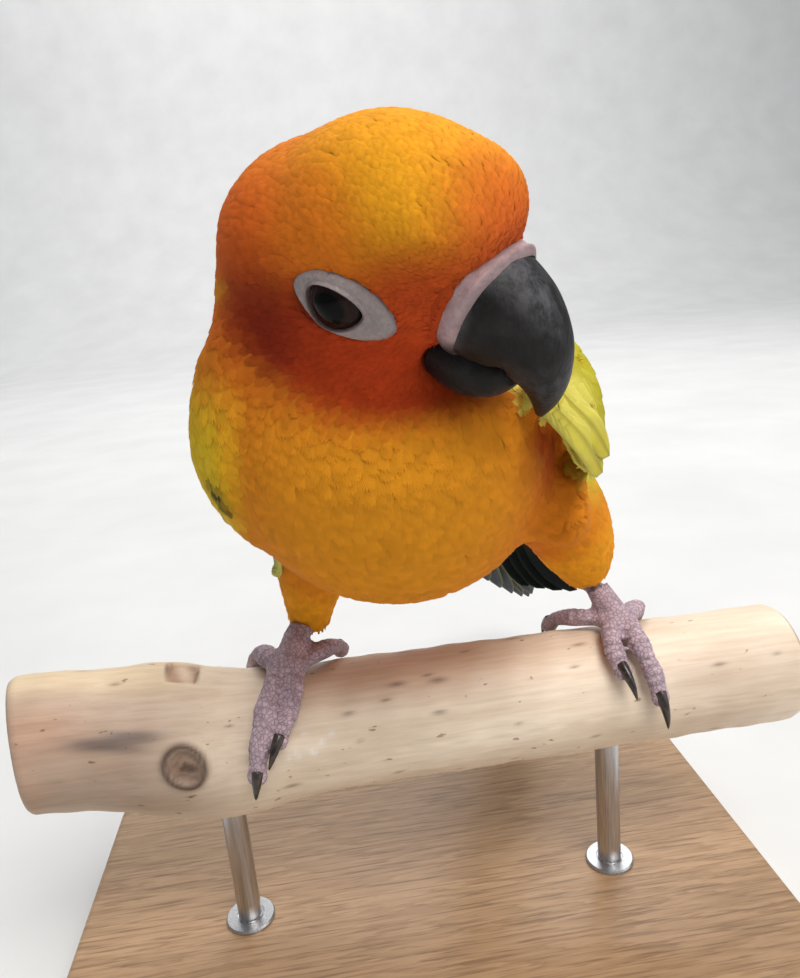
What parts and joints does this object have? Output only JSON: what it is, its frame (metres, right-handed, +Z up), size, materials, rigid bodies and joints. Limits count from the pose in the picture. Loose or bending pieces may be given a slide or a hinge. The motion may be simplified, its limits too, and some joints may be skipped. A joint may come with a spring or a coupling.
{
  "type": "model bird on a stand",
  "caption": "Still life-size model of a sun conure gripping a short cut branch, held by a flat base and short rods.",
  "frame": {"origin": "middle of the stand base's underside", "axes": "+Z up, +Y towards the bird's tail, +X along the branch towards the bird's left"},
  "size_m": [0.159, 0.1915, 0.1638],
  "materials": {
    "bare_skin": "matte wrinkled skin",
    "base_wood": "oiled",
    "bill_horn": "satin horn",
    "body_feathers": "matte, soft close feathers",
    "claw_horn": "satin horn",
    "eye": "wet gloss",
    "head_feathers": "matte, short close feathers",
    "peeled_wood": "peeled, smooth",
    "rod_steel": "brushed",
    "scaly_skin": "matte scaly skin",
    "tail_feathers": "matte, long overlapping feathers",
    "wing_feathers": "matte, overlapping feathers"
  },
  "bodies": {
    "root": {"bill_lower": "bill_horn", "bill_upper": "bill_horn", "cere": "bare_skin", "claw_left_inner_back": "claw_horn", "claw_left_inner_front": "claw_horn", "claw_left_outer_back": "claw_horn", "claw_left_outer_front": "claw_horn", "claw_right_inner_back": "claw_horn", "claw_right_inner_front": "claw_horn", "claw_right_outer_back": "claw_horn", "claw_right_outer_front": "claw_horn", "eye_left": "eye", "eye_right": "eye", "eye_ring_left": "bare_skin", "eye_ring_right": "bare_skin", "head": "head_feathers", "neck": "body_feathers", "perch": "peeled_wood", "rump": "body_feathers", "shank_left": "scaly_skin", "shank_right": "scaly_skin", "stand_base": "base_wood", "stand_rod_1": "rod_steel", "stand_rod_2": "rod_steel", "tail": "tail_feathers", "thigh_left": "body_feathers", "thigh_right": "body_feathers", "toe_left_inner_back": "scaly_skin", "toe_left_inner_front": "scaly_skin", "toe_left_outer_back": "scaly_skin", "toe_left_outer_front": "scaly_skin", "toe_right_inner_back": "scaly_skin", "toe_right_inner_front": "scaly_skin", "toe_right_outer_back": "scaly_skin", "toe_right_outer_front": "scaly_skin", "torso": "body_feathers", "wing_left": "wing_feathers", "wing_right": "wing_feathers"}
  },
  "joints": []
}
